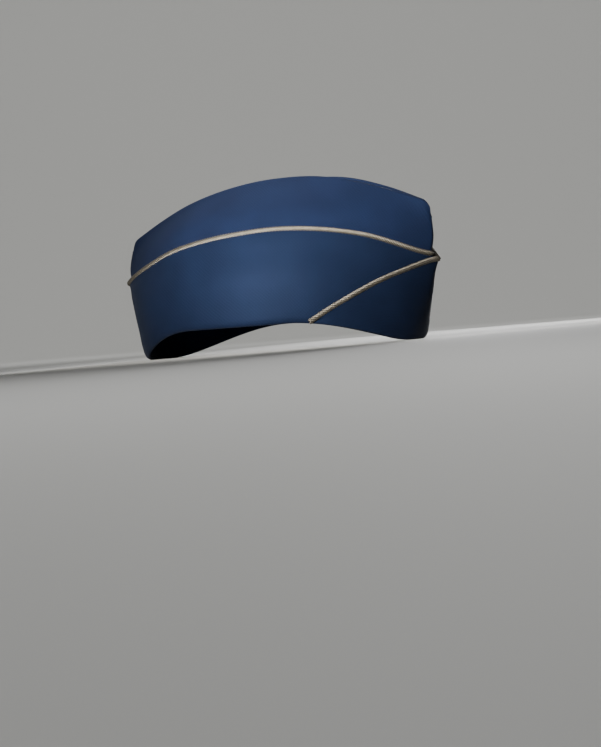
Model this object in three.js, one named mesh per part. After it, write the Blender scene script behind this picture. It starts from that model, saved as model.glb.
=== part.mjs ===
// A garrison cap of dark blue wool cloth: two side panels and a folded top make
// the crown, and a turned-up curtain with a corded edge goes round it. The
// curtain's left half laps over the right half at the brow, and its corded edge
// runs from there in a diagonal down to the rim.
// Millimetres. +X is the brow, +Y the wearer's left and +Z up. The origin lies
// under the middle of the cap, on the plane that it rests on.
import * as THREE from 'three';

// Lengths from the cap's middle line
const rimFront = 104;
const rimBack = 102.9;
const rimHalfWidth = 80.5;
const crownFront = 122.9;
const crownBack = 121.5;
const ridgeHalfWidth = 20;

// Heights above the resting plane
const crownHeight = 121;
const rimArch = 17.9;
const cornerRadius = 7;
const topFoldDepth = 20;

// Cloth and cord
const crownWall = 1.6;
const topWall = 1.6;
const curtainWall = 1.4;
const pipingWidth = 3.6;
const clearance = 0.3;

// Turns in degrees about the middle: 0 at the brow, 180 at the nape, positive to the wearer's left
const frontRest = 8;        // the rim lies flat up to here from the brow
const frontArch = 68.5;     // and has its full arch from here
const backRest = 13;
const backArch = 69.5;
const lapTurn = 59;         // where the diagonal edge meets the rim on the right
const lapStart = 20;        // where the left half starts to lift over the right half
const lapFull = -4;         // where it lies wholly outside it
const underlapEnd = -5;     // where the right half's cloth ends under the lap
const rightCordEnd = -3;    // where the right half's cord ends

// Narrower towards the brow by this share, and how much more an offset grows at the two ends
const eggShare = 0.03;
const endGrowth = 1.2;

// The crown's section at shares of the way up from the rim to the ridge:
// reach as a share from the rim's to the crown's, half width as a share from the ridge's
// to the rim's, and how pointed the oval's two ends are.
const crownRows = [
  { rise: 0.00, front: 0.000, back: 0.000, width: 1.00, point: 0.06 },
  { rise: 0.32, front: 0.420, back: 0.440, width: 0.93, point: 0.28 },
  { rise: 0.52, front: 0.610, back: 0.720, width: 0.80, point: 0.50 },
  { rise: 0.64, front: 0.790, back: 0.820, width: 0.69, point: 0.64 },
  { rise: 0.80, front: 1.000, back: 1.000, width: 0.46, point: 0.84 },
  { rise: 1.00, front: 0.995, back: 0.854, width: 0.00, point: 1.00 },
];

// Ridge height as a share of the crown's, along the cap from the nape (-1) to the brow (1)
const ridgeRows = [
  { along: -1.00, height: 0.706 },
  { along: -0.75, height: 0.815 },
  { along: -0.50, height: 0.905 },
  { along: -0.20, height: 0.971 },
  { along: 0.10, height: 1.000 },
  { along: 0.40, height: 0.984 },
  { along: 0.70, height: 0.900 },
  { along: 1.00, height: 0.775 },
];

// Height of the cord on the curtain's top edge, as a share of the crown's height
const edgeRows = [
  { along: -1.00, height: 0.470 },
  { along: -0.70, height: 0.548 },
  { along: -0.40, height: 0.628 },
  { along: 0.00, height: 0.679 },
  { along: 0.35, height: 0.685 },
  { along: 0.70, height: 0.620 },
  { along: 1.00, height: 0.479 },
];

// The diagonal edge: height above the rim as a share of the lap's height at the brow
const lapRows = [
  { way: 0.0, height: 1.000 },
  { way: 0.2, height: 0.980 },
  { way: 0.4, height: 0.850 },
  { way: 0.6, height: 0.635 },
  { way: 0.8, height: 0.335 },
  { way: 1.0, height: 0.020 },
];

// How fine the cloth and the cord are divided, in degrees of turn and in strips
const turnStep = 5;
const cordStep = turnStep / 2;
const curtainSteps = 7;
const crownStepsAbove = 4;
const topSteps = 12;
const cordSides = 8;

const radians = THREE.MathUtils.degToRad;
const mix = THREE.MathUtils.lerp;
const smooth = THREE.MathUtils.smoothstep;

// A smooth curve through one column of a table
function read(rows, by, column, at) {
  const x = THREE.MathUtils.clamp(at, rows[0][by], rows.at(-1)[by]);
  const i = Math.min(rows.findLastIndex((row) => row[by] <= x), rows.length - 2);
  const slope = (k) => {
    const before = rows[Math.max(k - 1, 0)];
    const after = rows[Math.min(k + 1, rows.length - 1)];
    return (after[column] - before[column]) / (after[by] - before[by]);
  };
  const width = rows[i + 1][by] - rows[i][by];
  const s = (x - rows[i][by]) / width;
  const start = rows[i][column] * (1 - s * s * (3 - 2 * s)) + width * slope(i) * s * (1 - s) ** 2;
  const end = rows[i + 1][column] * s * s * (3 - 2 * s) - width * slope(i + 1) * s * s * (1 - s);
  return start + end;
}

// The rim rests at the brow and at the nape, and arches up over each side
function rimHeight(turn) {
  const fromBrow = Math.abs(turn);
  const lift = fromBrow < 90
    ? smooth(fromBrow, frontRest, frontArch)
    : smooth(180 - fromBrow, backRest, backArch);
  return rimArch * lift;
}

// The ridge between a side panel and the top, rounded down at its two ends
function ridgeHeight(turn) {
  const along = Math.cos(radians(turn));
  const reach = along > 0 ? crownFront : crownBack;
  const fromCorner = Math.max(cornerRadius - reach * (1 - Math.abs(along)), 0);
  const drop = cornerRadius - Math.sqrt(cornerRadius ** 2 - fromCorner ** 2);
  return crownHeight * read(ridgeRows, 'along', 'height', along) - drop;
}

// A point of the crown's outer face, moved off it outwards (or inwards, if negative)
function crownPoint(turn, height, off = 0) {
  const rim = rimHeight(turn);
  const rise = (height - rim) / (ridgeHeight(turn) - rim);
  const share = (column) => read(crownRows, 'rise', column, rise);
  const along = Math.cos(radians(turn));
  const side = Math.abs(Math.sin(radians(turn)));
  const reach = along > 0
    ? mix(rimFront, crownFront, share('front'))
    : mix(rimBack, crownBack, share('back'));
  const halfWidth = mix(ridgeHalfWidth, rimHalfWidth, share('width'));
  const oval = mix(side, side * side, share('point'));
  return new THREE.Vector3(
    (reach + endGrowth * off) * along,
    Math.sign(turn) * (halfWidth + off) * oval * (1 - eggShare * along),
    height,
  );
}

// Keeps a point of one half on its own side of the middle seam
function besideSeam(point, side) {
  point.y = side * Math.max(side * point.y, clearance / 2);
  return point;
}

const between = (from, to, steps) =>
  Array.from({ length: steps + 1 }, (_, i) => mix(from, to, i / steps));

// Turns at whole steps from one turn on, so that neighbours are divided at the same places
function turnsFrom(from, to, step = turnStep) {
  const whole = Math.ceil(Math.abs(to - from) / step - 0.1);
  const way = Math.sign(to - from) * step;
  return [...Array.from({ length: whole }, (_, i) => from + i * way), to];
}

// Joins closed sections of equal, even length into one closed solid. The ends are closed
// with strips from side to side.
function loft(sections) {
  const size = sections[0].length;
  const positions = sections.flat().flatMap((point) => point.toArray());
  const faces = [];
  const quad = (a, b, c, d) => faces.push(a, b, c, a, c, d);
  for (let row = 0; row + 1 < sections.length; row += 1) {
    for (let i = 0; i < size; i += 1) {
      const next = (i + 1) % size;
      quad(row * size + i, row * size + next, (row + 1) * size + next, (row + 1) * size + i);
    }
  }
  const last = (sections.length - 1) * size;
  for (let i = 0; i + 1 < size / 2; i += 1) {
    const across = size - 1 - i;
    quad(i, across, across - 1, i + 1);
    quad(last + i, last + i + 1, last + across - 1, last + across);
  }
  if (signedVolume(positions, faces) < 0) faces.reverse();
  const geometry = new THREE.BufferGeometry();
  geometry.setAttribute('position', new THREE.Float32BufferAttribute(positions, 3));
  geometry.setIndex(faces);
  geometry.computeVertexNormals();
  return geometry;
}

function signedVolume(positions, faces) {
  const corner = (i) => new THREE.Vector3().fromArray(positions, 3 * faces[i]);
  let sum = 0;
  for (let i = 0; i < faces.length; i += 3) {
    sum += corner(i).dot(corner(i + 1).cross(corner(i + 2)));
  }
  return sum / 6;
}

// The curtain's cloth turns in under the crown, and the crown's cloth ends above that fold
const foldShoulder = 1.6 * curtainWall;
const crownFoot = foldShoulder + clearance;
const cordRadius = pipingWidth / 2;
const edgeToCord = cordRadius + 2 * clearance;
const curtainFlare = (pipingWidth - curtainWall) / 2 + clearance;

// The top between the two ridges, folded down along the middle
const topSeamGap = 2 * clearance;
const topEnd = 11;
const topShoulder = 1.4;

function crownTop() {
  const section = (turn) => {
    const edge = crownPoint(turn, ridgeHeight(turn), -crownWall - topSeamGap);
    const depth = topFoldDepth * Math.sin(radians(turn)) ** 2;
    const upper = between(-1, 1, topSteps).map((across) => new THREE.Vector3(
      edge.x,
      edge.y * across,
      edge.z - clearance - depth * (1 - Math.abs(across)) ** topShoulder,
    ));
    const lower = upper.map((point) => point.clone().setZ(point.z - topWall));
    return [...upper, ...lower.reverse()];
  };
  return loft(turnsFrom(topEnd, 180 - topEnd).map(section));
}

// Height of the cord's middle line on the curtain's top edge
function edgeHeight(turn) {
  return crownHeight * read(edgeRows, 'along', 'height', Math.cos(radians(turn)));
}

// The left half's edge drops a little to pass below the right half's cord at the brow,
// and then runs down to the rim
const lapDrop = pipingWidth;

function leftEdgeHeight(turn) {
  if (turn >= 0) {
    return edgeHeight(turn) - lapDrop * (1 - smooth(turn, 0, lapStart));
  }
  const lapHeight = edgeHeight(0) - lapDrop;
  return rimHeight(turn) + lapHeight * read(lapRows, 'way', 'height', -turn / lapTurn);
}

// How far the curtain's inner face stands off the crown, flaring out towards its edge
function flare(turn, height, edge) {
  const rim = rimHeight(turn);
  const share = Math.min((height - rim) / (edge(turn) - rim), 1);
  return clearance + curtainFlare * share ** 2;
}

const rightOff = (turn, height) => flare(turn, height, edgeHeight);

function leftOff(turn, height) {
  const outside = 1 - smooth(turn, lapFull, lapStart);
  const overRight = rightOff(turn, height) + curtainWall + flare(turn, height, leftEdgeHeight);
  return mix(rightOff(turn, height), overRight, outside);
}

// Where the cloth stops below a cord that may run steeply
function clothTop(turn, edge, off) {
  const ahead = crownPoint(turn + 1, edge(turn + 1), off);
  const behind = crownPoint(turn - 1, edge(turn - 1), off);
  const level = Math.hypot(ahead.x - behind.x, ahead.y - behind.y);
  const steepness = Math.hypot(level, ahead.z - behind.z) / level;
  return edge(turn) - edgeToCord * steepness;
}

// Heights up the curtain's inner face, which the crown's face behind it shares
function curtainHeights(turn, edge, off) {
  const top = clothTop(turn, edge, off(turn, edge(turn)));
  return between(rimHeight(turn) + foldShoulder, top, curtainSteps);
}

// One side panel of the crown, side 1 for the wearer's left and -1 for the right
function crownPanel(side) {
  const section = (turn) => {
    const [, ...behind] = curtainHeights(turn, edgeHeight, rightOff);
    const above = between(behind.at(-1), ridgeHeight(turn), crownStepsAbove);
    const heights = [rimHeight(turn) + crownFoot, ...behind, ...above.slice(1)];
    const outer = heights.map((height) => crownPoint(turn, height));
    const inner = heights.map((height) => crownPoint(turn, height, -crownWall));
    return [...outer, ...inner.reverse()].map((point) => besideSeam(point, side));
  };
  return loft(turnsFrom(180, 0).map((turn) => section(side * turn)));
}

// A half of the curtain between two turns. Under the crown its foot turns in as far as the
// crown's inner face. On the lap it ends at the lap's own inner face.
function curtain(from, to, side, edge, off, turnsInAt) {
  const section = (turn) => {
    const rim = rimHeight(turn);
    const heights = curtainHeights(turn, edge, off);
    const outer = [rim, ...heights.slice(1)]
      .map((height) => crownPoint(turn, height, off(turn, height) + curtainWall));
    const inner = heights.map((height) => crownPoint(turn, height, off(turn, height)));
    const foot = turnsInAt(turn) ? -crownWall : off(turn, rim);
    const loop = [
      crownPoint(turn, rim, foot),
      ...outer,
      ...inner.reverse(),
      crownPoint(turn, rim + curtainWall, foot),
    ];
    return turnsInAt(turn) ? loop.map((point) => besideSeam(point, side)) : loop;
  };
  return loft(turnsFrom(from, to).map(section));
}

// The cord along an edge, its sections square to its run
function cord(from, to, side, edge, off) {
  const middle = (turn) => crownPoint(turn, edge(turn), off(turn, edge(turn)) + curtainWall / 2);
  const up = new THREE.Vector3(0, 0, 1);
  const section = (turn) => {
    const centre = middle(turn);
    const run = middle(turn + 0.5).sub(middle(turn - 0.5)).normalize();
    const out = run.clone().cross(up).normalize();
    const rise = out.clone().cross(run);
    return between(0, 2 * Math.PI, cordSides).slice(0, cordSides).map((angle) => centre.clone()
      .addScaledVector(out, cordRadius * Math.cos(angle))
      .addScaledVector(rise, cordRadius * Math.sin(angle)))
      .map((point) => (Math.abs(turn) > 90 ? besideSeam(point, side) : point));
  };
  return loft(turnsFrom(from, to, cordStep).map(section));
}

// The lap's cloth stops a little short of where its cord meets the rim
const lapClothEnd = -lapTurn * 0.95;

const crownCloth = new THREE.MeshStandardMaterial({ color: 0x33466e, roughness: 0.92, metalness: 0 });
const curtainCloth = new THREE.MeshStandardMaterial({ color: 0x2f4268, roughness: 0.92, metalness: 0 });
const metalCord = new THREE.MeshStandardMaterial({ color: 0xb9b3a6, roughness: 0.42, metalness: 0.9 });

const cap = new THREE.Group();

function add(name, geometry, material) {
  const mesh = new THREE.Mesh(geometry, material);
  mesh.name = name;
  cap.add(mesh);
}

add('crown_right', crownPanel(-1), crownCloth);
add('crown_left', crownPanel(1), crownCloth);
add('crown_top', crownTop(), crownCloth);
add('curtain_right', curtain(-180, underlapEnd, -1, edgeHeight, rightOff, () => true), curtainCloth);
add('curtain_left', curtain(180, lapClothEnd, 1, leftEdgeHeight, leftOff, (turn) => turn >= 0), curtainCloth);
add('piping_right', cord(-180, rightCordEnd, -1, edgeHeight, rightOff), metalCord);
add('piping_left', cord(180, -lapTurn, 1, leftEdgeHeight, leftOff), metalCord);

// The origin goes under the middle of the cap's length and width
const middle = new THREE.Box3().setFromObject(cap).getCenter(new THREE.Vector3());
cap.children.forEach((mesh) => mesh.position.set(-middle.x, -middle.y, 0));

export default cap;
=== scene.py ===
import math

import bmesh
import bpy
import numpy as np
from mathutils import Matrix, Vector


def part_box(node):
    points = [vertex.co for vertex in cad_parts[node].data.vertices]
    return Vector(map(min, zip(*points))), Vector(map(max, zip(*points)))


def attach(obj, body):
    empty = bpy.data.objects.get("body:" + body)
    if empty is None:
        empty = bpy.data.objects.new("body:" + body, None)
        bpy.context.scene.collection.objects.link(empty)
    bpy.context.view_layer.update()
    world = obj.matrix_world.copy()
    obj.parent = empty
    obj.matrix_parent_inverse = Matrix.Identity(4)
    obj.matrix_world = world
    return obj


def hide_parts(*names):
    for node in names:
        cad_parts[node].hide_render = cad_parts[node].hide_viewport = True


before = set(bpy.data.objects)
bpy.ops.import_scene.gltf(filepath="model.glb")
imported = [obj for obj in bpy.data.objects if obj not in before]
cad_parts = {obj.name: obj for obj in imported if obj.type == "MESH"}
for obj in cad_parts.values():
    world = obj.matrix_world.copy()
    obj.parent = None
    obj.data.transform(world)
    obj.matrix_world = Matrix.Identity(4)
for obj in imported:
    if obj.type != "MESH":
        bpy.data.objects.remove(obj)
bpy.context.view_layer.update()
print("frame loaded,", len(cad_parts), "nodes")

mm = 0.001

# Garrison cap of dark blue wool cloth. Turns are in degrees about the middle, 0 at the brow (+X),
# 180 at the nape, positive to the wearer's left (+Y). Heights and offsets are in mm.
form = {
    "rimFront": 104, "rimBack": 102.9, "rimHalfWidth": 80.5,
    "crownFront": 122.9, "crownBack": 121.5, "ridgeHalfWidth": 20,
    "crownHeight": 121, "rimArch": 17.9, "cornerRadius": 7,
    "frontRest": 8, "frontArch": 68.5,  # turns from the brow where the rim lifts off and is fully arched
    "backRest": 13, "backArch": 69.5,  # the same from the nape
    "eggShare": 0.03,  # how much the brow is narrower, and the nape wider, than the plain oval
    "endGrowth": 1.2,  # how far the brow and the nape move out for each mm of offset
    "topFoldDepth": 20, "topEnd": 11,  # the solid top starts at this turn from the brow and from the nape
    "crownWall": 1.6, "topWall": 1.6, "curtainWall": 1.4, "cordWidth": 3.6, "clearance": 0.3,
    "lapTurn": 59,  # where the left half's diagonal edge meets the rim
    "lapStart": 20, "lapFull": -4,  # between these turns the left half comes out over the right one
    "underlapEnd": -5, "rightCordEnd": -3,  # where the right half and its cord end, under the lap
}
# the crown's section at shares of the way up: reach in front and behind, half width, how pointed it ends
crownRows = {
    "rise": [0, 0.32, 0.52, 0.64, 0.80, 1],
    "front": [0, 0.42, 0.61, 0.79, 1, 0.995],
    "back": [0, 0.44, 0.72, 0.82, 1, 0.854],
    "width": [1, 0.93, 0.8, 0.69, 0.46, 0],
    "point": [0.06, 0.28, 0.5, 0.64, 0.84, 1],
}
ridgeRows = {  # along the cap, from the nape to the brow
    "along": [-1, -0.75, -0.5, -0.2, 0.1, 0.4, 0.7, 1],
    "height": [0.706, 0.815, 0.905, 0.971, 1, 0.984, 0.9, 0.775],
}
edgeRows = {
    "along": [-1, -0.7, -0.4, 0, 0.35, 0.7, 1],
    "height": [0.47, 0.548, 0.628, 0.679, 0.685, 0.62, 0.479],
}
lapRows = {  # down the diagonal edge, from the brow to the rim
    "way": [0, 0.2, 0.4, 0.6, 0.8, 1],
    "height": [1, 0.98, 0.85, 0.635, 0.335, 0.02],
}


def mix(a, b, share):
    return a + (b - a) * share


def smooth(x, low, high):
    t = np.clip((np.asarray(x, float) - low) / (high - low), 0, 1)
    return t * t * (3 - 2 * t)


def curveThrough(xs, ys, at):
    xs, ys = np.array(xs, float), np.array(ys, float)
    slope = np.concatenate([
        [(ys[1] - ys[0]) / (xs[1] - xs[0])],
        (ys[2:] - ys[:-2]) / (xs[2:] - xs[:-2]),
        [(ys[-1] - ys[-2]) / (xs[-1] - xs[-2])],
    ])
    at = np.clip(at, xs[0], xs[-1])
    i = np.clip(np.searchsorted(xs, at, side="right") - 1, 0, len(xs) - 2)
    width = xs[i + 1] - xs[i]
    s = (at - xs[i]) / width
    return (
        ys[i] * (1 - s * s * (3 - 2 * s)) + width * slope[i] * s * (1 - s) ** 2
        + ys[i + 1] * s * s * (3 - 2 * s) - width * slope[i + 1] * s * s * (1 - s)
    )


def alongAt(turn):
    return np.cos(np.radians(turn))


def rimAt(turn):
    fromBrow = np.abs(turn)
    front = smooth(fromBrow, form["frontRest"], form["frontArch"])
    back = smooth(180 - fromBrow, form["backRest"], form["backArch"])
    return form["rimArch"] * np.where(fromBrow < 90, front, back)


def ridgeAt(turn):
    along, radius = alongAt(turn), form["cornerRadius"]
    reach = np.where(along > 0, form["crownFront"], form["crownBack"])
    fromCorner = np.maximum(radius - reach * (1 - np.abs(along)), 0)
    drop = radius - np.sqrt(radius ** 2 - fromCorner ** 2)
    return form["crownHeight"] * curveThrough(ridgeRows["along"], ridgeRows["height"], along) - drop


def shellPoint(turn, height, off=0.0):
    # points this far off the crown's outer face, in mm
    turn, height, off = np.broadcast_arrays(*(np.asarray(a, float) for a in (turn, height, off)))
    rim = rimAt(turn)
    rise = (height - rim) / (ridgeAt(turn) - rim)
    front, back, width, point = (
        curveThrough(crownRows["rise"], crownRows[row], rise) for row in ("front", "back", "width", "point"))
    along, side = alongAt(turn), np.abs(np.sin(np.radians(turn)))
    reach = np.where(
        along > 0,
        mix(form["rimFront"], form["crownFront"], front),
        mix(form["rimBack"], form["crownBack"], back),
    )
    halfWidth = mix(form["ridgeHalfWidth"], form["rimHalfWidth"], width)
    oval = mix(side, side * side, point)
    x = (reach + form["endGrowth"] * off) * along
    y = np.sign(turn) * (halfWidth + off) * oval * (1 - form["eggShare"] * along)
    return np.stack([x, y, height], axis=-1)


def edgeAt(turn):
    return form["crownHeight"] * curveThrough(edgeRows["along"], edgeRows["height"], alongAt(turn))


def leftEdgeAt(turn):
    # below the right half's cord at the brow, then down the diagonal to the rim
    drop = form["cordWidth"]
    beforeBrow = edgeAt(turn) - drop * (1 - smooth(turn, 0, form["lapStart"]))
    lapHeight = edgeAt(0.0) - drop
    lap = rimAt(turn) + lapHeight * curveThrough(lapRows["way"], lapRows["height"], -turn / form["lapTurn"])
    return np.where(turn >= 0, beforeBrow, lap)


def flareAt(turn, height, edge):
    # the curtain stands off by the clearance at the rim, and leaves room for the cord at its edge
    rim = rimAt(turn)
    share = np.clip((height - rim) / np.maximum(edge(turn) - rim, 1e-3), 0, 1)
    flare = (form["cordWidth"] - form["curtainWall"]) / 2 + form["clearance"]
    return form["clearance"] + flare * share ** 2


def rightOff(turn, height):
    return flareAt(turn, height, edgeAt)


def leftOff(turn, height):
    outside = 1 - smooth(turn, form["lapFull"], form["lapStart"])
    over = rightOff(turn, height) + form["curtainWall"] + flareAt(turn, height, leftEdgeAt)
    return mix(rightOff(turn, height), over, outside)


# The form is drawn about the rim's middle, and the frame's origin is the middle of the whole cap. The solid
# top's two ends lie at known turns, so its box tells how far apart the two middles are.
topEnds = np.array([form["topEnd"], 180 - form["topEnd"]])
topInside = -form["crownWall"] - 2 * form["clearance"]
topMiddle = shellPoint(topEnds, ridgeAt(topEnds), topInside)[:, 0].mean() * mm
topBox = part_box("crown_top")
frameShift = Vector(((topBox[0].x + topBox[1].x) / 2 - topMiddle, 0, 0))
print("form moved", round(frameShift.x / mm, 3), "mm along the cap")

# Slow, shallow unevenness of sewn cloth: waves round the cap that shift with the height and by piece
waves = [
    {"round": 3, "perHeight": 0.045, "perSeed": 1, "start": 0, "share": 1},
    {"round": 7, "perHeight": -0.061, "perSeed": 2.1, "start": 1.3, "share": 0.7},
    {"round": 13, "perHeight": 0.083, "perSeed": 0.7, "start": 4.0, "share": 0.45},
]


def ripple(turn, height, size, seed):
    total = 0
    for wave in waves:
        phase = wave["perHeight"] * height + wave["perSeed"] * seed + wave["start"]
        total = total + wave["share"] * np.sin(wave["round"] * np.radians(turn) + phase)
    return size * total / sum(wave["share"] for wave in waves)


def unit(v):
    return v / np.maximum(np.linalg.norm(v, axis=-1, keepdims=True), 1e-9)


def offMiddle(turn, side):
    # a turn of exactly 0 has no side, so it gets a hair of one
    return np.where(np.abs(turn) < 1e-9, side * 1e-6, turn)


def arcLengths(points, axis):
    steps = np.linalg.norm(np.diff(points, axis=axis), axis=-1)
    zero = np.zeros_like(np.take(steps, [0], axis=axis))
    return np.concatenate([zero, np.cumsum(steps, axis=axis)], axis=axis)


def ringFaces(rows, size, base=0):
    # quads between rows of closed rings, and the numbers of their points
    index = base + np.arange(rows * size).reshape(rows, size)
    after = np.roll(index, -1, axis=1)
    return np.stack([index[:-1], after[:-1], after[1:], index[1:]], axis=-1).reshape(-1, 4), index


def addObject(name, data):
    thing = bpy.data.objects.new(name, data)
    bpy.context.scene.collection.objects.link(thing)
    return thing


def addPiece(name, points, faces, run):
    # a smooth piece from points in mm, with the run of its cloth or cord as UVs in mm
    mesh = bpy.data.meshes.new(name)
    mesh.from_pydata((points * mm).tolist(), [], faces)
    corners = np.zeros(len(mesh.loops), int)
    mesh.loops.foreach_get("vertex_index", corners)
    mesh.uv_layers.new(name="clothMm").data.foreach_set("uv", run[corners].ravel())
    mesh.update()
    bm = bmesh.new()
    bm.from_mesh(mesh)
    bmesh.ops.recalc_face_normals(bm, faces=bm.faces)
    bm.to_mesh(mesh)
    bm.free()
    mesh.polygons.foreach_set("use_smooth", [True] * len(mesh.polygons))
    piece = addObject(name, mesh)
    piece.location = frameShift
    return piece


seamGap = 0.04  # mm from the middle to each side's cloth in the seams of the brow and the nape


def addShell(name, loops, side=0):
    # one body from rows of closed sections in mm, kept to its own side of the seams if it has one
    if side:
        loops[..., 1] = side * np.maximum(side * loops[..., 1], seamGap)
    rows, size = loops.shape[:2]
    faces, index = ringFaces(rows, size)
    i = np.arange(size // 2 - 1)  # each end is closed from the section's outer half to its inner half
    first = np.stack([i, size - 1 - i, size - 2 - i, i + 1], axis=-1)
    last = index[-1, 0] + first[:, ::-1]
    along = arcLengths(loops, 0)
    along -= along[rows // 2]
    run = np.stack([along, arcLengths(loops, 1)], axis=-1)
    allFaces = np.concatenate([faces, first, last]).tolist()
    return addPiece(name, loops.reshape(-1, 3), allFaces, run.reshape(-1, 2))


def place(piece, node, material):
    piece.data.materials.append(material)
    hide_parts(node)
    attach(piece, "root")


# Materials
def linear(hexColour):
    channels = [int(hexColour[i:i + 2], 16) / 255 for i in (1, 3, 5)]
    return (*[c / 12.92 if c <= 0.04045 else ((c + 0.055) / 1.055) ** 2.4 for c in channels], 1)


def addNode(tree, kind, settings=None, inputs=None):
    node = tree.nodes.new(kind)
    for name, value in (settings or {}).items():
        setattr(node, name, value)
    for name, value in (inputs or {}).items():
        if isinstance(value, bpy.types.NodeSocket):
            tree.links.new(value, node.inputs[name])
        else:
            node.inputs[name].default_value = value
    return node


def startMaterial(name):
    material = bpy.data.materials.new(name)
    material.use_nodes = True
    tree = material.node_tree
    tree.nodes.clear()
    shader = addNode(tree, "ShaderNodeBsdfPrincipled")
    addNode(tree, "ShaderNodeOutputMaterial", inputs={"Surface": shader.outputs["BSDF"]})
    return material, tree, shader


def wovenWool(name, look):
    # Worsted wool, woven and lightly milled: matt, with a soft bloom of fibres and threads that just show
    material, tree, shader = startMaterial(name)
    uv = addNode(tree, "ShaderNodeUVMap", {"uv_map": "clothMm"}).outputs["UV"]
    onPiece = addNode(tree, "ShaderNodeTexCoord").outputs["Object"]

    # threads over and under each other, one thread each drawnThread mm
    threads = addNode(
        tree, "ShaderNodeVectorMath", {"operation": "SCALE"},
        {0: uv, "Scale": math.pi / look["drawnThread"]})
    wander = addNode(
        tree, "ShaderNodeTexNoise", {"noise_dimensions": "2D"},
        {"Vector": uv, "Scale": look["wandersPerMm"], "Detail": 2})
    wanderSmall = addNode(
        tree, "ShaderNodeVectorMath", {"operation": "SCALE"},
        {0: wander.outputs["Color"], "Scale": look["threadWander"]})
    uneven = addNode(
        tree, "ShaderNodeVectorMath", {"operation": "ADD"},
        {0: threads.outputs[0], 1: wanderSmall.outputs[0]})
    parts = addNode(tree, "ShaderNodeSeparateXYZ", inputs={0: uneven.outputs[0]})
    warp = addNode(tree, "ShaderNodeMath", {"operation": "SINE"}, {0: parts.outputs["X"]})
    weft = addNode(tree, "ShaderNodeMath", {"operation": "SINE"}, {0: parts.outputs["Y"]})
    weave = addNode(
        tree, "ShaderNodeMath", {"operation": "MULTIPLY"}, {0: warp.outputs[0], 1: weft.outputs[0]})
    weaveUp = addNode(
        tree, "ShaderNodeMath", {"operation": "MULTIPLY_ADD"}, {0: weave.outputs[0], 1: 0.5, 2: 0.5})

    # fibres, and cloudy patches where the nap lies differently
    fibre = addNode(
        tree, "ShaderNodeTexNoise",
        inputs={"Vector": onPiece, "Scale": 1 / (look["fibre"] * mm), "Detail": 4, "Roughness": 0.7})
    cloud = addNode(
        tree, "ShaderNodeTexNoise",
        inputs={"Vector": onPiece, "Scale": 1 / (look["cloud"] * mm), "Detail": 3})

    # all three push the colour from dark to light, about the middle of the two
    tone = addNode(
        tree, "ShaderNodeMath", {"operation": "MULTIPLY_ADD"},
        {0: weaveUp.outputs[0], 1: look["weaveTone"], 2: (1 - look["weaveTone"]) / 2})
    toneFibre = addNode(
        tree, "ShaderNodeMath", {"operation": "MULTIPLY_ADD"},
        {0: fibre.outputs["Fac"], 1: look["fibreTone"], 2: tone.outputs[0]})
    toneCloud = addNode(
        tree, "ShaderNodeMath", {"operation": "MULTIPLY_ADD"},
        {0: cloud.outputs["Fac"], 1: look["cloudTone"], 2: toneFibre.outputs[0]})
    level = addNode(
        tree, "ShaderNodeMath", {"operation": "SUBTRACT"},
        {0: toneCloud.outputs[0], 1: (look["fibreTone"] + look["cloudTone"]) / 2})
    colour = addNode(
        tree, "ShaderNodeMix", {"data_type": "RGBA"},
        {"Factor": level.outputs[0], "A": linear(look["dark"]), "B": linear(look["light"])})
    tree.links.new(colour.outputs["Result"], shader.inputs["Base Color"])

    relief = addNode(
        tree, "ShaderNodeMath", {"operation": "MULTIPLY_ADD"},
        {0: fibre.outputs["Fac"], 1: look["fibreRelief"], 2: weaveUp.outputs[0]})
    bump = addNode(tree, "ShaderNodeBump", inputs={
        "Height": relief.outputs[0],
        "Distance": look["reliefDepth"] * mm, "Strength": look["reliefStrength"],
    })
    tree.links.new(bump.outputs["Normal"], shader.inputs["Normal"])
    shader.inputs["Roughness"].default_value = look["roughness"]
    shader.inputs["Specular IOR Level"].default_value = look["specular"]
    shader.inputs["Specular Tint"].default_value = linear(look["specularTint"])
    shader.inputs["Sheen Weight"].default_value = look["sheen"]
    shader.inputs["Sheen Roughness"].default_value = look["sheenRoughness"]
    shader.inputs["Sheen Tint"].default_value = linear(look["sheenTint"])
    return material


crownLook = {
    "dark": "#070a15", "light": "#121a30", "sheenTint": "#7f95bd", "specularTint": "#7d9ad6",
    "drawnThread": 1.2,  # the real threads are 0.5 mm apart, too fine to show, so they are drawn coarser
    "threadWander": 2.2, "wandersPerMm": 0.11,
    "fibre": 0.8, "cloud": 26,  # sizes in mm
    "weaveTone": 0.3, "fibreTone": 0.45, "cloudTone": 0.5,
    "fibreRelief": 0.5, "reliefDepth": 0.2, "reliefStrength": 0.35,
    "roughness": 0.6, "specular": 0.12, "sheen": 0.02, "sheenRoughness": 0.5,
}
# painted shade: the curtain has the crown's wool with darker colours, not a different cloth
curtainShadedLook = {**crownLook, "dark": "#060913", "light": "#0f172a"}
crownWool = wovenWool("worsted wool, woven, crown", crownLook)
curtainShadedWool = wovenWool("worsted wool, woven and doubled, curtain", curtainShadedLook)


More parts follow.
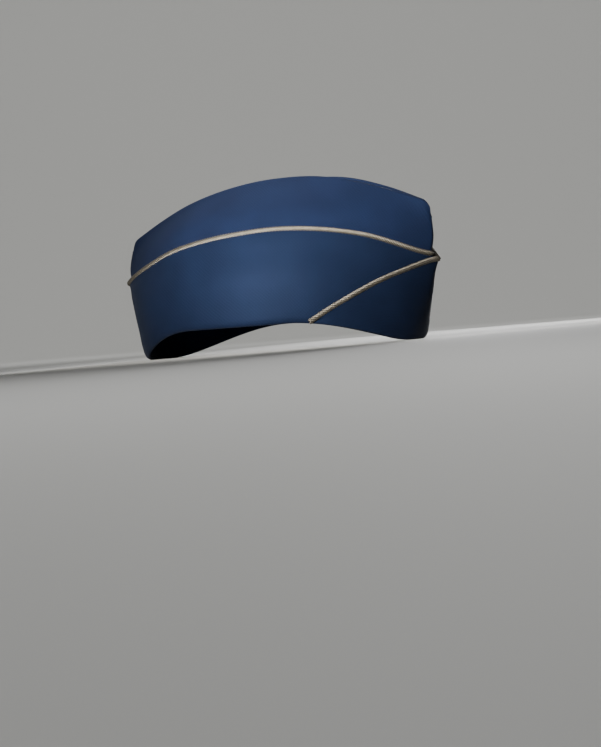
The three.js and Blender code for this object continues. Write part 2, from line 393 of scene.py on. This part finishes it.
def bullionCord(name, look):
    # Fine gilt and silver wire wound on yarn and twisted: glints on each strand, painted shade and some
    # tarnish down between them
    material, tree, shader = startMaterial(name)
    uv = addNode(tree, "ShaderNodeUVMap", {"uv_map": "clothMm"}).outputs["UV"]
    onPiece = addNode(tree, "ShaderNodeTexCoord").outputs["Object"]
    valley = addNode(tree, "ShaderNodeAttribute", {"attribute_name": "valley"})
    parts = addNode(tree, "ShaderNodeSeparateXYZ", inputs={0: uv})
    wire = addNode(
        tree, "ShaderNodeMath", {"operation": "MULTIPLY"},
        {0: parts.outputs["X"], 1: 2 * math.pi / look["drawnWire"]})
    wireWave = addNode(tree, "ShaderNodeMath", {"operation": "SINE"}, {0: wire.outputs[0]})
    grime = addNode(
        tree, "ShaderNodeTexNoise",
        inputs={"Vector": onPiece, "Scale": 1 / (look["grime"] * mm), "Detail": 4})
    dull = addNode(
        tree, "ShaderNodeMath", {"operation": "MULTIPLY_ADD", "use_clamp": True},
        {0: grime.outputs["Fac"], 1: look["grimeShare"], 2: -look["grimeStart"]})
    # the darker colour comes from the grime noise, which is tarnish at random, and from the valley mask,
    # which is painted shade between the strands
    tarnishAndShade = addNode(
        tree, "ShaderNodeMath", {"operation": "ADD", "use_clamp": True},
        {0: dull.outputs[0], 1: valley.outputs["Fac"]})
    colour = addNode(
        tree, "ShaderNodeMix", {"data_type": "RGBA"},
        {"Factor": tarnishAndShade.outputs[0], "A": linear(look["bright"]), "B": linear(look["tarnishAndShade"])})
    tree.links.new(colour.outputs["Result"], shader.inputs["Base Color"])
    rough = addNode(
        tree, "ShaderNodeMath", {"operation": "MULTIPLY_ADD"},
        {0: tarnishAndShade.outputs[0], 1: look["tarnishRoughness"] - look["roughness"], 2: look["roughness"]})
    tree.links.new(rough.outputs[0], shader.inputs["Roughness"])
    bump = addNode(tree, "ShaderNodeBump", inputs={
        "Height": wireWave.outputs[0],
        "Distance": look["wireDepth"] * mm, "Strength": look["wireStrength"],
    })
    tree.links.new(bump.outputs["Normal"], shader.inputs["Normal"])
    shader.inputs["Metallic"].default_value = 1
    return material


cordLook = {
    # the second colour is tarnish at random, and also painted shade down between the strands
    "bright": "#6c6860", "tarnishAndShade": "#2e251a",
    "drawnWire": 0.5,  # the wire is about 0.15 mm thick, and is drawn thicker so that its windings show
    "wireDepth": 0.05, "wireStrength": 0.5,
    "grime": 5, "grimeShare": 0.7, "grimeStart": 0.2,
    "roughness": 0.56, "tarnishRoughness": 0.68,
}
wireCord = bullionCord("gilt and silver wire, wound and twisted, cord", cordLook)
print("materials made")

# Crown side panels: rolled over at the ridge, and drawn in at the seams of the brow and the nape
panel = {
    "turnStep": 1.0, "rows": 60,
    "footHeight": 2.0,  # how far above the rim the panel starts, inside the curtain's fold
    "rollRadius": 1.9, "rollTurn": 112, "rollSteps": 10,  # degrees from the outer face over the ridge
    "rollEnds": (1, 14),  # turns from the seam over which the roll opens
    "rollLeft": 0.12,  # the share of the roll at the seam
    "rollBack": 0.5,  # how far the face ends short of the ridge, as a share of the roll's radius
    "rollBlend": 7,  # how far below the ridge the face starts to bend to it
    "seamDepth": 0.8, "seamWidth": 1.1, "seamSwell": 0.35, "swellWidth": 6,
    "unevenness": 0.55, "seed": 0.6,
}


def panelGrid(side):
    # the outer face as rows of turns by columns of heights, its normals, and the way over the ridge
    turn = offMiddle(side * np.arange(180, -1e-6, -panel["turnStep"]), side)[:, None]
    ridge, rim = ridgeAt(turn), rimAt(turn)
    share = np.linspace(0, 1, panel["rows"])[None, :]
    height = mix(rim + panel["footHeight"], ridge, share)
    plain = shellPoint(turn, height)
    run, rise = unit(np.gradient(plain, axis=0)), unit(np.gradient(plain, axis=1))
    normal = unit(np.cross(run, rise))
    normal *= np.sign(np.sum(normal * plain * [1, 1, 0], axis=-1, keepdims=True))
    over = unit(np.cross(normal, run))
    along = np.broadcast_to(alongAt(turn), ridge.shape)
    over *= np.sign(over[..., 0:1] * along[..., None] + over[..., 2:3])
    fromSeam = np.abs(plain[..., 1])
    seam = panel["seamDepth"] * np.exp(-(fromSeam / panel["seamWidth"]) ** 2)
    seam = seam - panel["seamSwell"] * np.exp(-(fromSeam / panel["swellWidth"]) ** 2)
    # the ripple dies away at the edges and the seams
    calm = np.sin(np.pi * share) ** 0.5 * np.abs(np.sin(np.radians(turn))) ** 0.5
    off = ripple(turn, height, panel["unevenness"], panel["seed"] * side) * calm - seam
    outer = shellPoint(turn, height, off)
    near = 1 - smooth(ridge - height, 0, panel["rollBlend"])
    outer -= panel["rollBack"] * panel["rollRadius"] * near[..., None] * over
    return turn, outer, normal, over[:, -1]


def rollOver(turn, outer, normal, over):
    # from the outer face over the ridge to the seam with the top, and the same way on the inside
    last, n, w = outer[:, -1:], normal[:, -1:], over[:, None]
    centre = last - panel["rollRadius"] * n
    fromSeam = 90 - np.abs(90 - np.abs(turn))
    opened = mix(panel["rollLeft"], 1, smooth(fromSeam, *panel["rollEnds"]))[..., None]
    angles = np.radians(np.linspace(0, panel["rollTurn"], panel["rollSteps"] + 1)[1:])
    angles = angles[None, :, None] * opened
    outwards = np.cos(angles) * n + np.sin(angles) * w
    insideRadius = panel["rollRadius"] - form["crownWall"]
    return centre + panel["rollRadius"] * outwards, centre + insideRadius * outwards


ridgeSeams = {}
for side, node in ((-1, "crown_right"), (1, "crown_left")):
    turn, outer, normal, over = panelGrid(side)
    rollOuter, rollInner = rollOver(turn, outer, normal, over)
    inner = outer - form["crownWall"] * normal
    ridgeSeams[side] = (turn[:, 0], rollOuter[:, -1])
    loops = np.concatenate([outer, rollOuter, rollInner[:, ::-1], inner[:, ::-1]], axis=1)
    piece = addShell(node.replace("crown", "crownPanel"), loops, side)
    place(piece, node, crownWool)
print("crown side panels made")

# Top between the two ridges: its edges roll down into the seams, its middle falls into a fold
top = {
    "columns": 48, "leastHalfWidth": 0.6,  # it starts where the seams are this far from the middle
    "tuck": 0.35,  # how far its edges reach in under the ridges
    "edgeDrop": 0.3, "edgeRoll": 0.7, "edgeWidth": 1.1,
    "rollGrows": (1, 6),  # half widths over which the edges' roll grows
    "creaseRadius": 1.0, "shoulder": 1.4,  # how round the fold is at the bottom, and how steep its sides
    "creaseLeast": 3,  # half widths below this keep the crease of this one
    "unevenness": 0.45, "seed": 2, "rippleWidth": 30,
    "rippleGrows": (1, 8),  # mm from the edges over which the ripple grows
}


def makeTop():
    turns, seam = ridgeSeams[1]
    keep = seam[:, 1] > top["leastHalfWidth"]
    turns, seam = turns[keep][:, None], seam[keep]
    halfWidth = seam[:, 1:2] + top["tuck"]
    across = np.sin(np.linspace(-0.5, 0.5, top["columns"] + 1) * math.pi)[None, :]
    fromEdge = (1 - np.abs(across)) * halfWidth
    soft = np.sqrt(across ** 2 + (top["creaseRadius"] / np.maximum(halfWidth, top["creaseLeast"])) ** 2)
    creased = np.clip(1 - soft, 0, 1) ** top["shoulder"]
    depth = form["topFoldDepth"] * np.sin(np.radians(turns)) ** 2
    roll = top["edgeRoll"] * (1 - np.exp(-(fromEdge / top["edgeWidth"]) ** 2))
    roll = roll * smooth(halfWidth, *top["rollGrows"])
    uneven = ripple(turns, top["rippleWidth"] * across, top["unevenness"], top["seed"])
    uneven = uneven * smooth(fromEdge, *top["rippleGrows"])
    z = seam[:, 2:3] - top["edgeDrop"] + roll - depth * creased + uneven
    upper = np.stack([np.broadcast_to(seam[:, 0:1], z.shape), across * halfWidth, z], axis=-1)
    normal = unit(np.cross(np.gradient(upper, axis=0), np.gradient(upper, axis=1)))
    normal *= np.sign(normal[..., 2:3])
    lower = upper - form["topWall"] * normal
    return addShell("crownTop", np.concatenate([upper, lower[:, ::-1]], axis=1))


place(makeTop(), "crown_top", crownWool)
print("folded top made")

# Curtain halves: doubled cloth, plump where it folds at the rim, its top edge inside the cord
fold = {
    "turnStep": 1.0, "rows": 40, "innerRows": 14, "bendSteps": 8, "edgeSteps": 5,
    "rise": 5.5,  # how far up the outer face the fold's rounding reaches
    "depth": 2.6, "footTop": 1.75,  # how far in the fold goes, and how far up its foot reaches
    "freeFoot": 0.6,  # the same reach on the lap, which has no foot, as a share of its wall
    "fullHeight": 12, "leastHeight": 0.4,  # the lap ends lower than its fold, which is squashed there
    "plumpness": 0.5, "plumpRise": 9, "plumpWidth": 7,
    "unevenness": 0.5, "seed": 1.1,
    "calmFoot": (3, 14), "calmEdge": (0, 12),  # mm from each over which the ripple grows
    "innerStart": 0.05, "innerCrowding": 1.3,  # the inner rows start above the foot, and lie closer near it
    "rimWaves": 5, "rimUnevenness": 0.35, "wavesGrow": (0, 6),  # rim heights over which its waves grow
    "edgeInCord": 0.6, "edgeRound": 0.4,
    "lapEnd": 0.985,  # the lap's cloth ends just inside the cord at the diagonal's foot
}


def curtainLoops(turn, edge, off, footTurned):
    # closed sections; footTurned is 1 where the foot goes in under the crown and 0 on the lap
    turn, footTurned = turn[:, None], footTurned[:, None]
    wall, rim = form["curtainWall"], rimAt(turn)
    top = edge(turn) - fold["edgeInCord"]
    squash = np.minimum(np.maximum(top - rim, fold["leastHeight"]) / fold["fullHeight"], 1)
    rimWave = (1 - np.cos(np.radians(fold["rimWaves"] * turn))) / 2
    lift = fold["rimUnevenness"] * rimWave * smooth(rim, *fold["wavesGrow"])

    def outerOff(height):
        up = height - rim
        plump = fold["plumpness"] * np.exp(-((up - fold["plumpRise"]) / fold["plumpWidth"]) ** 2) * squash
        calm = smooth(up, *fold["calmFoot"]) * smooth(top - height, *fold["calmEdge"])
        uneven = ripple(turn, height, fold["unevenness"], fold["seed"])
        return off(turn, height) + wall + plump + uneven * calm

    start = rim + fold["rise"] * squash
    outerHeights = mix(start, top, np.linspace(0, 1, fold["rows"])[None, :])
    outer = shellPoint(turn, outerHeights, outerOff(outerHeights))

    # round the bottom, from the outer face to the foot
    angle = np.linspace(0, math.pi / 2, fold["bendSteps"] + 1)[None, 1:]
    depth = mix(wall / 2, fold["depth"], footTurned)
    middle = outerOff(start) - depth
    bottom = shellPoint(turn, start - (start - rim - lift) * np.sin(angle), middle + depth * np.cos(angle))
    footOff = mix(off(turn, rim), -form["crownWall"], footTurned)
    footTop = rim + mix(wall * fold["freeFoot"], fold["footTop"], footTurned) * squash
    footHeights = mix(rim + lift, footTop, 1 - np.cos(angle))
    foot = shellPoint(turn, footHeights, mix(middle, footOff, np.sin(angle)))

    # up the inner face, and over the top edge
    innerShare = np.linspace(0, 1, fold["innerRows"])[None, :] ** fold["innerCrowding"]
    innerHeights = mix(footTop + fold["innerStart"], top, innerShare)
    inner = shellPoint(turn, innerHeights, off(turn, innerHeights))
    edgeAngle = np.linspace(0, math.pi, fold["edgeSteps"] + 1)[None, 1:-1]
    overEdge = mix(off(turn, top), outerOff(top), (1 + np.cos(edgeAngle)) / 2)
    rounded = shellPoint(turn, top + fold["edgeRound"] * np.sin(edgeAngle) * squash, overEdge)
    return np.concatenate([inner, rounded[:, ::-1], outer[:, ::-1], bottom, foot], axis=1)


def turnRun(start, end):
    steps = math.ceil(abs(end - start) / fold["turnStep"])
    return offMiddle(np.linspace(start, end, steps + 1), np.sign(start))


rightRun = turnRun(-180, form["underlapEnd"])
rightLoops = curtainLoops(rightRun, edgeAt, rightOff, np.ones(len(rightRun)))
place(addShell("curtainRight", rightLoops, -1), "curtain_right", curtainShadedWool)

leftRun = turnRun(180, -form["lapTurn"] * fold["lapEnd"])
leftLoops = curtainLoops(leftRun, leftEdgeAt, leftOff, smooth(leftRun, form["underlapEnd"], 0))
nape = leftRun > 90
leftLoops[nape, :, 1] = np.maximum(leftLoops[nape, :, 1], seamGap)  # it crosses the middle at the brow only
place(addShell("curtainLeft", leftLoops), "curtain_left", curtainShadedWool)
print("curtain halves made")

# Cord: strands of wound wire twisted round each other
cord = {
    "strands": 5, "sides": 12, "step": 0.6, "pathPoints": 1200,
    "lay": 11,  # the length of one full twist
    "plumpness": 1.1,  # fuller than the plain rod, because the strands leave valleys
    "endTaper": 3.0, "taperLeft": 0.25,  # the right cord thins out over this length at its front end
    "valleyStart": 0.5, "valleyShade": 0.8,  # painted shade between the strands, with some tarnish, on the sides of the strands that face inwards
}


def cordPath(start, end, edge, off):
    # even steps along the middle of a curtain's edge
    turn = offMiddle(np.linspace(start, end, cord["pathPoints"]), 1)
    points = shellPoint(turn, edge(turn), off(turn, edge(turn)) + form["curtainWall"] / 2)
    lengths = arcLengths(points, 0)
    even = np.linspace(0, lengths[-1], math.ceil(lengths[-1] / cord["step"]) + 1)
    return np.stack([np.interp(even, lengths, points[:, k]) for k in range(3)], axis=-1), even


def twistCord(name, path, lengths, way, taper):
    # way is 1 or -1 for the hand of the twist, and taper holds each path point's share of full thickness
    run = unit(np.gradient(path, axis=0))
    run[0] = unit(run[1] * [0, 1, 0])  # square to the seam at the nape
    out = unit(np.cross(run, [0, 0, 1.0]))
    out *= np.sign(np.sum(out * path * [1, 1, 0], axis=-1, keepdims=True))
    rise = unit(np.cross(out, run))
    rise *= np.sign(rise[:, 2:3] + 1e-9)
    reach = form["cordWidth"] / 2 * cord["plumpness"]
    strandRadius = reach / (1 + 1 / math.sin(math.pi / cord["strands"]))  # they touch their neighbours
    around = np.linspace(0, 2 * math.pi, cord["sides"], endpoint=False)
    shape = (len(path), cord["sides"])
    # painted shade: the sides of the strands that face inwards, between the strands, are darkened, with some
    # tarnish there too
    valley = cord["valleyShade"] * np.clip(cord["valleyStart"] - np.cos(around), 0, 1)
    points, faces, runs = [], [], []
    for k in range(cord["strands"]):
        angle = way * 2 * math.pi * lengths / cord["lay"] + 2 * math.pi * k / cord["strands"]
        outwards = np.cos(angle)[:, None] * out + np.sin(angle)[:, None] * rise
        middle = path + (reach - strandRadius) * taper[:, None] * outwards
        strandRun = unit(np.gradient(middle, axis=0))
        a = unit(outwards - strandRun * np.sum(outwards * strandRun, axis=-1, keepdims=True))
        b = np.cross(strandRun, a)
        circle = np.cos(around)[None, :, None] * a[:, None] + np.sin(around)[None, :, None] * b[:, None]
        points.append((middle[:, None] + strandRadius * taper[:, None, None] * circle).reshape(-1, 3))
        strandFaces, index = ringFaces(*shape, base=k * shape[0] * shape[1])
        faces += strandFaces.tolist() + [index[0, ::-1].tolist(), index[-1].tolist()]
        strandUv = np.broadcast_arrays(lengths[:, None], around * strandRadius)
        runs.append(np.stack(strandUv, axis=-1).reshape(-1, 2))
    piece = addPiece(name, np.concatenate(points), faces, np.concatenate(runs))
    valleys = np.broadcast_to(valley, (cord["strands"], *shape)).ravel().astype(np.float32)
    piece.data.attributes.new("valley", "FLOAT", "POINT").data.foreach_set("value", valleys)
    return piece


rightPath, rightLengths = cordPath(-180, form["rightCordEnd"], edgeAt, rightOff)
fromEnd = np.clip((rightLengths[-1] - rightLengths) / cord["endTaper"], 0, 1)
rightCord = twistCord("cordRight", rightPath, rightLengths, -1, mix(cord["taperLeft"], 1, fromEnd ** 0.5))
place(rightCord, "piping_right", wireCord)
leftPath, leftLengths = cordPath(180, -form["lapTurn"], leftEdgeAt, leftOff)
leftCord = twistCord("cordLeft", leftPath, leftLengths, 1, np.ones(len(leftPath)))
place(leftCord, "piping_left", wireCord)
print("cords made,", round(float(rightLengths[-1])), "and", round(float(leftLengths[-1])), "mm")

# Pale round floor that runs up into a wall on all sides, so that it has no edge in any view
floor = {
    "rings": (0.3, 0.9, 1.8), "flat": 2.7, "bend": 1.2, "bendPoints": 24, "height": 3.4, "around": 96,
    "colour": "#c9c9c6", "roughness": 0.9, "specular": 0.2,
}


def makeFloor():
    bend = [
        (floor["flat"] + floor["bend"] * math.sin(a), floor["bend"] * (1 - math.cos(a)))
        for a in np.linspace(0, math.pi / 2, floor["bendPoints"])
    ]
    profile = [(r, 0) for r in floor["rings"]] + bend + [(bend[-1][0], floor["height"])]
    turns = np.linspace(0, 2 * math.pi, floor["around"], endpoint=False)
    points = [(r * math.cos(t), r * math.sin(t), z) for r, z in profile for t in turns]
    faces, index = ringFaces(len(profile), floor["around"])
    mesh = bpy.data.meshes.new("floor")
    mesh.from_pydata(points, [], [index[0].tolist()] + faces[:, ::-1].tolist())
    mesh.polygons.foreach_set("use_smooth", [True] * len(mesh.polygons))
    # Matt emulsion paint, rolled: an even, pale surface with next to no highlight
    material, tree, shader = startMaterial("matt emulsion paint, rolled, floor")
    shader.inputs["Base Color"].default_value = linear(floor["colour"])
    shader.inputs["Roughness"].default_value = floor["roughness"]
    shader.inputs["Specular IOR Level"].default_value = floor["specular"]
    mesh.materials.append(material)
    addObject("floor", mesh)


makeFloor()

# Camera at the photograph's angle, a little above the floor
shot = {
    "azimuth": 27.0, "distance": 2.1, "height": 0.012, "lens": 176.0, "sensor": 36, "clip": 0.05,
    "aimRight": 0.0088, "aimHeight": -0.0182, "roll": -4.65,
}
camera = addObject("camera", bpy.data.cameras.new("camera"))
azimuth = math.radians(shot["azimuth"])
away = Vector((math.sin(azimuth), -math.cos(azimuth), 0))
rightwards = Vector((math.cos(azimuth), math.sin(azimuth), 0))
camera.location = away * shot["distance"] + Vector((0, 0, shot["height"]))
aim = rightwards * shot["aimRight"] + Vector((0, 0, shot["aimHeight"]))
looking = (aim - camera.location).to_track_quat("-Z", "Y").to_matrix().to_4x4()
roll = Matrix.Rotation(math.radians(shot["roll"]), 4, "Z")
camera.rotation_euler = (looking @ roll).to_euler()
camera.data.sensor_fit = "HORIZONTAL"
camera.data.sensor_width = shot["sensor"]
camera.data.lens = shot["lens"]
camera.data.clip_start = shot["clip"]
bpy.context.scene.camera = camera

# Soft studio light: a small gridded softbox on each side of the cap, large ones for the floor and behind
lights = {
    "key": {
        "at": (-0.03, -1.04, 0.3), "aim": (0.018, -0.06, 0.118),
        "size": (0.2, 0.2), "spread": 14, "watts": 1.3, "colour": "#fffaf2",
    },
    "overhead": {
        "at": (-0.4, 0.9, 2.6), "aim": (-0.4, 0.9, 0),
        "size": (2.6, 2.6), "spread": 180, "watts": 17, "colour": "#ffffff",
    },
    "foreground": {
        "at": (0.7, -1.4, 1.7), "aim": (0.7, -1.4, 0),
        "size": (1.2, 1.2), "spread": 50, "watts": 2.4, "colour": "#ffffff",
    },
    "farSide": {
        "at": (-0.3, 1.2, 0.22), "aim": (0, 0.05, 0.07),
        "size": (0.4, 0.4), "spread": 26, "watts": 1.1, "colour": "#ffffff",
    },
    "backdrop": {
        "at": (-0.5, 1.0, 2.2), "aim": (-1.7, 3.4, 0.9),
        "size": (1.4, 1.4), "spread": 180, "watts": 40, "colour": "#ffffff",
    },
}
for name, facts in lights.items():
    lamp = bpy.data.lights.new(name, "AREA")
    lamp.shape = "RECTANGLE"
    lamp.size, lamp.size_y = facts["size"]
    lamp.energy = facts["watts"]
    lamp.color = linear(facts["colour"])[:3]
    lamp.spread = math.radians(facts["spread"])
    softbox = addObject(name, lamp)
    softbox.location = facts["at"]
    softbox.rotation_euler = (Vector(facts["aim"]) - softbox.location).to_track_quat("-Z", "Y").to_euler()

fill = {"colour": "#c8ccd2", "strength": 0.02}  # what the room gives back
world = bpy.data.worlds.new("studio")
world.use_nodes = True
world.node_tree.nodes["Background"].inputs["Color"].default_value = linear(fill["colour"])
world.node_tree.nodes["Background"].inputs["Strength"].default_value = fill["strength"]
bpy.context.scene.world = world
print("floor, camera and lights made")
